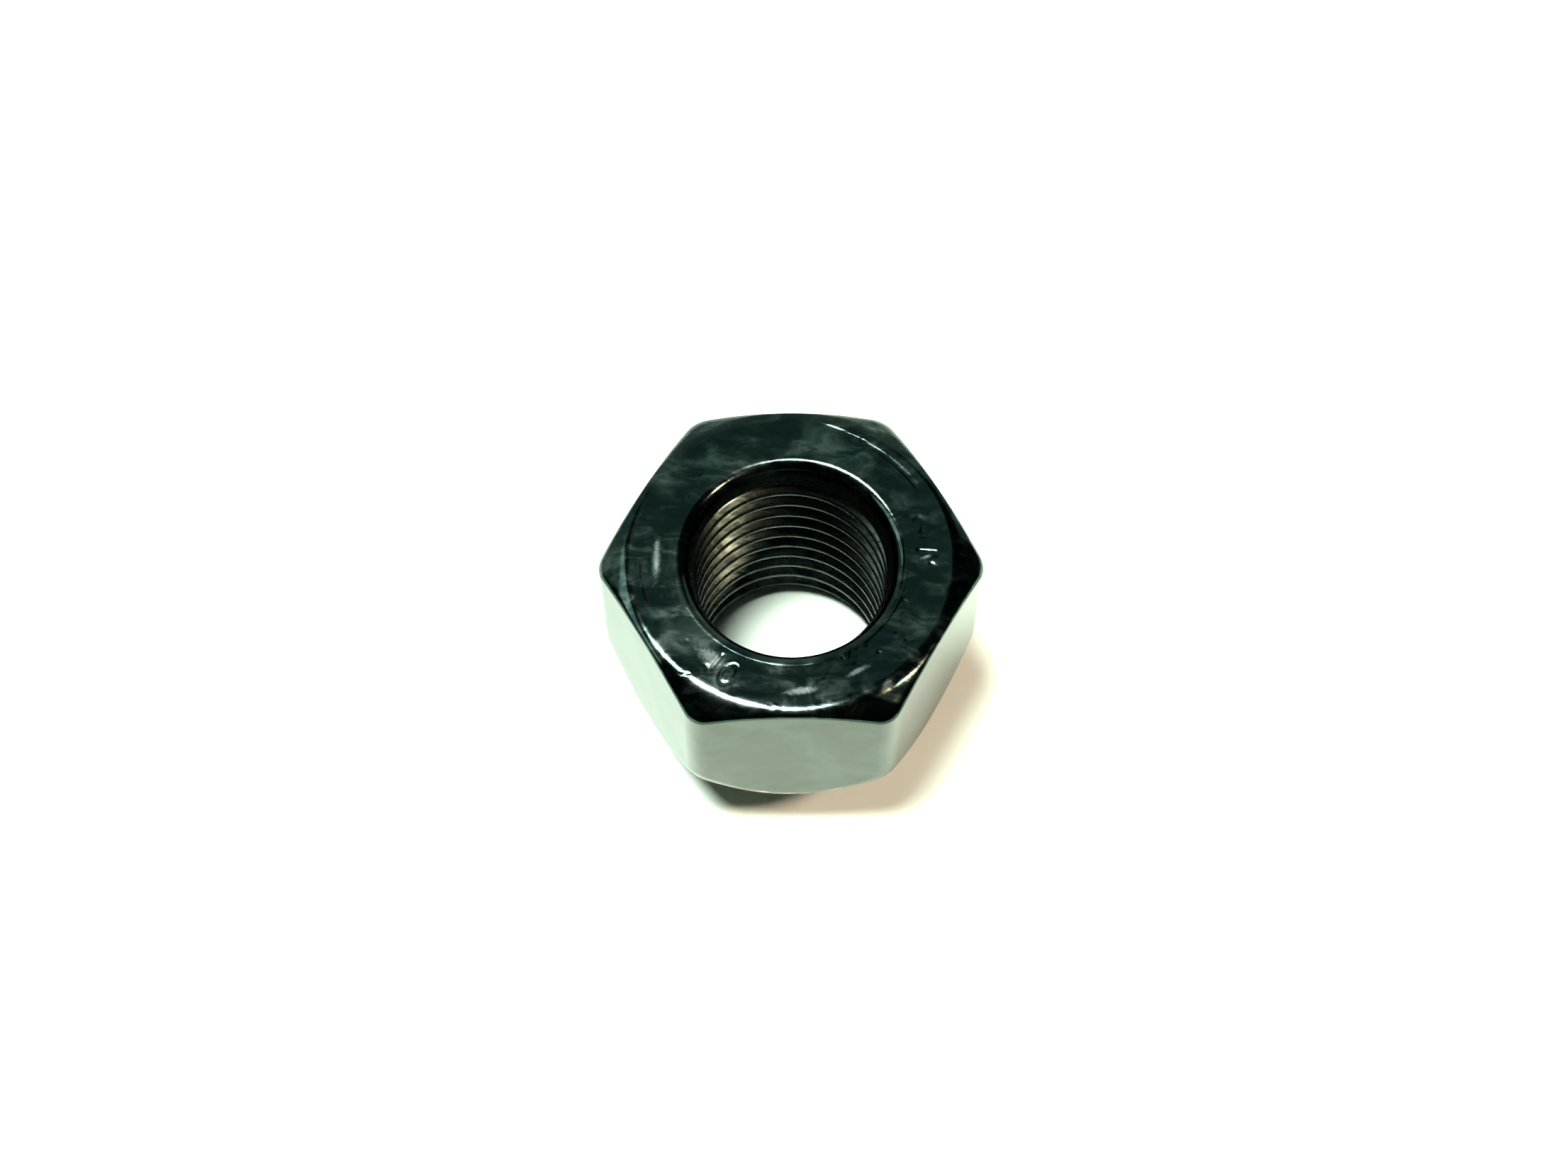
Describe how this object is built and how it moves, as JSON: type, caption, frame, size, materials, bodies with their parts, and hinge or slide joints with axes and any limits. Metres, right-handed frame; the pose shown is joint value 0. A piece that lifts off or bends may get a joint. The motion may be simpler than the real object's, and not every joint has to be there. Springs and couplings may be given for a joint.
{
  "type": "hex nut",
  "caption": "Open hexagon wheel nut in black steel, with a chamfered top face, a right-hand metric fine thread right through and a conical seat at its lower end.",
  "frame": {"origin": "centre of the flat ring at the small end of the cone seat, which is the lowest face", "axes": "+Z along the thread axis, from the cone seat to the flat top face; +X towards a corner of the hexagon, and +Y square to a wrench flat"},
  "size_m": [0.025, 0.022, 0.018],
  "materials": {
    "black_zinc_steel": "glossy black zinc plating with a teal cast, slightly smudged and scuffed"
  },
  "bodies": {
    "root": {"nut_body": "black_zinc_steel"}
  },
  "joints": []
}
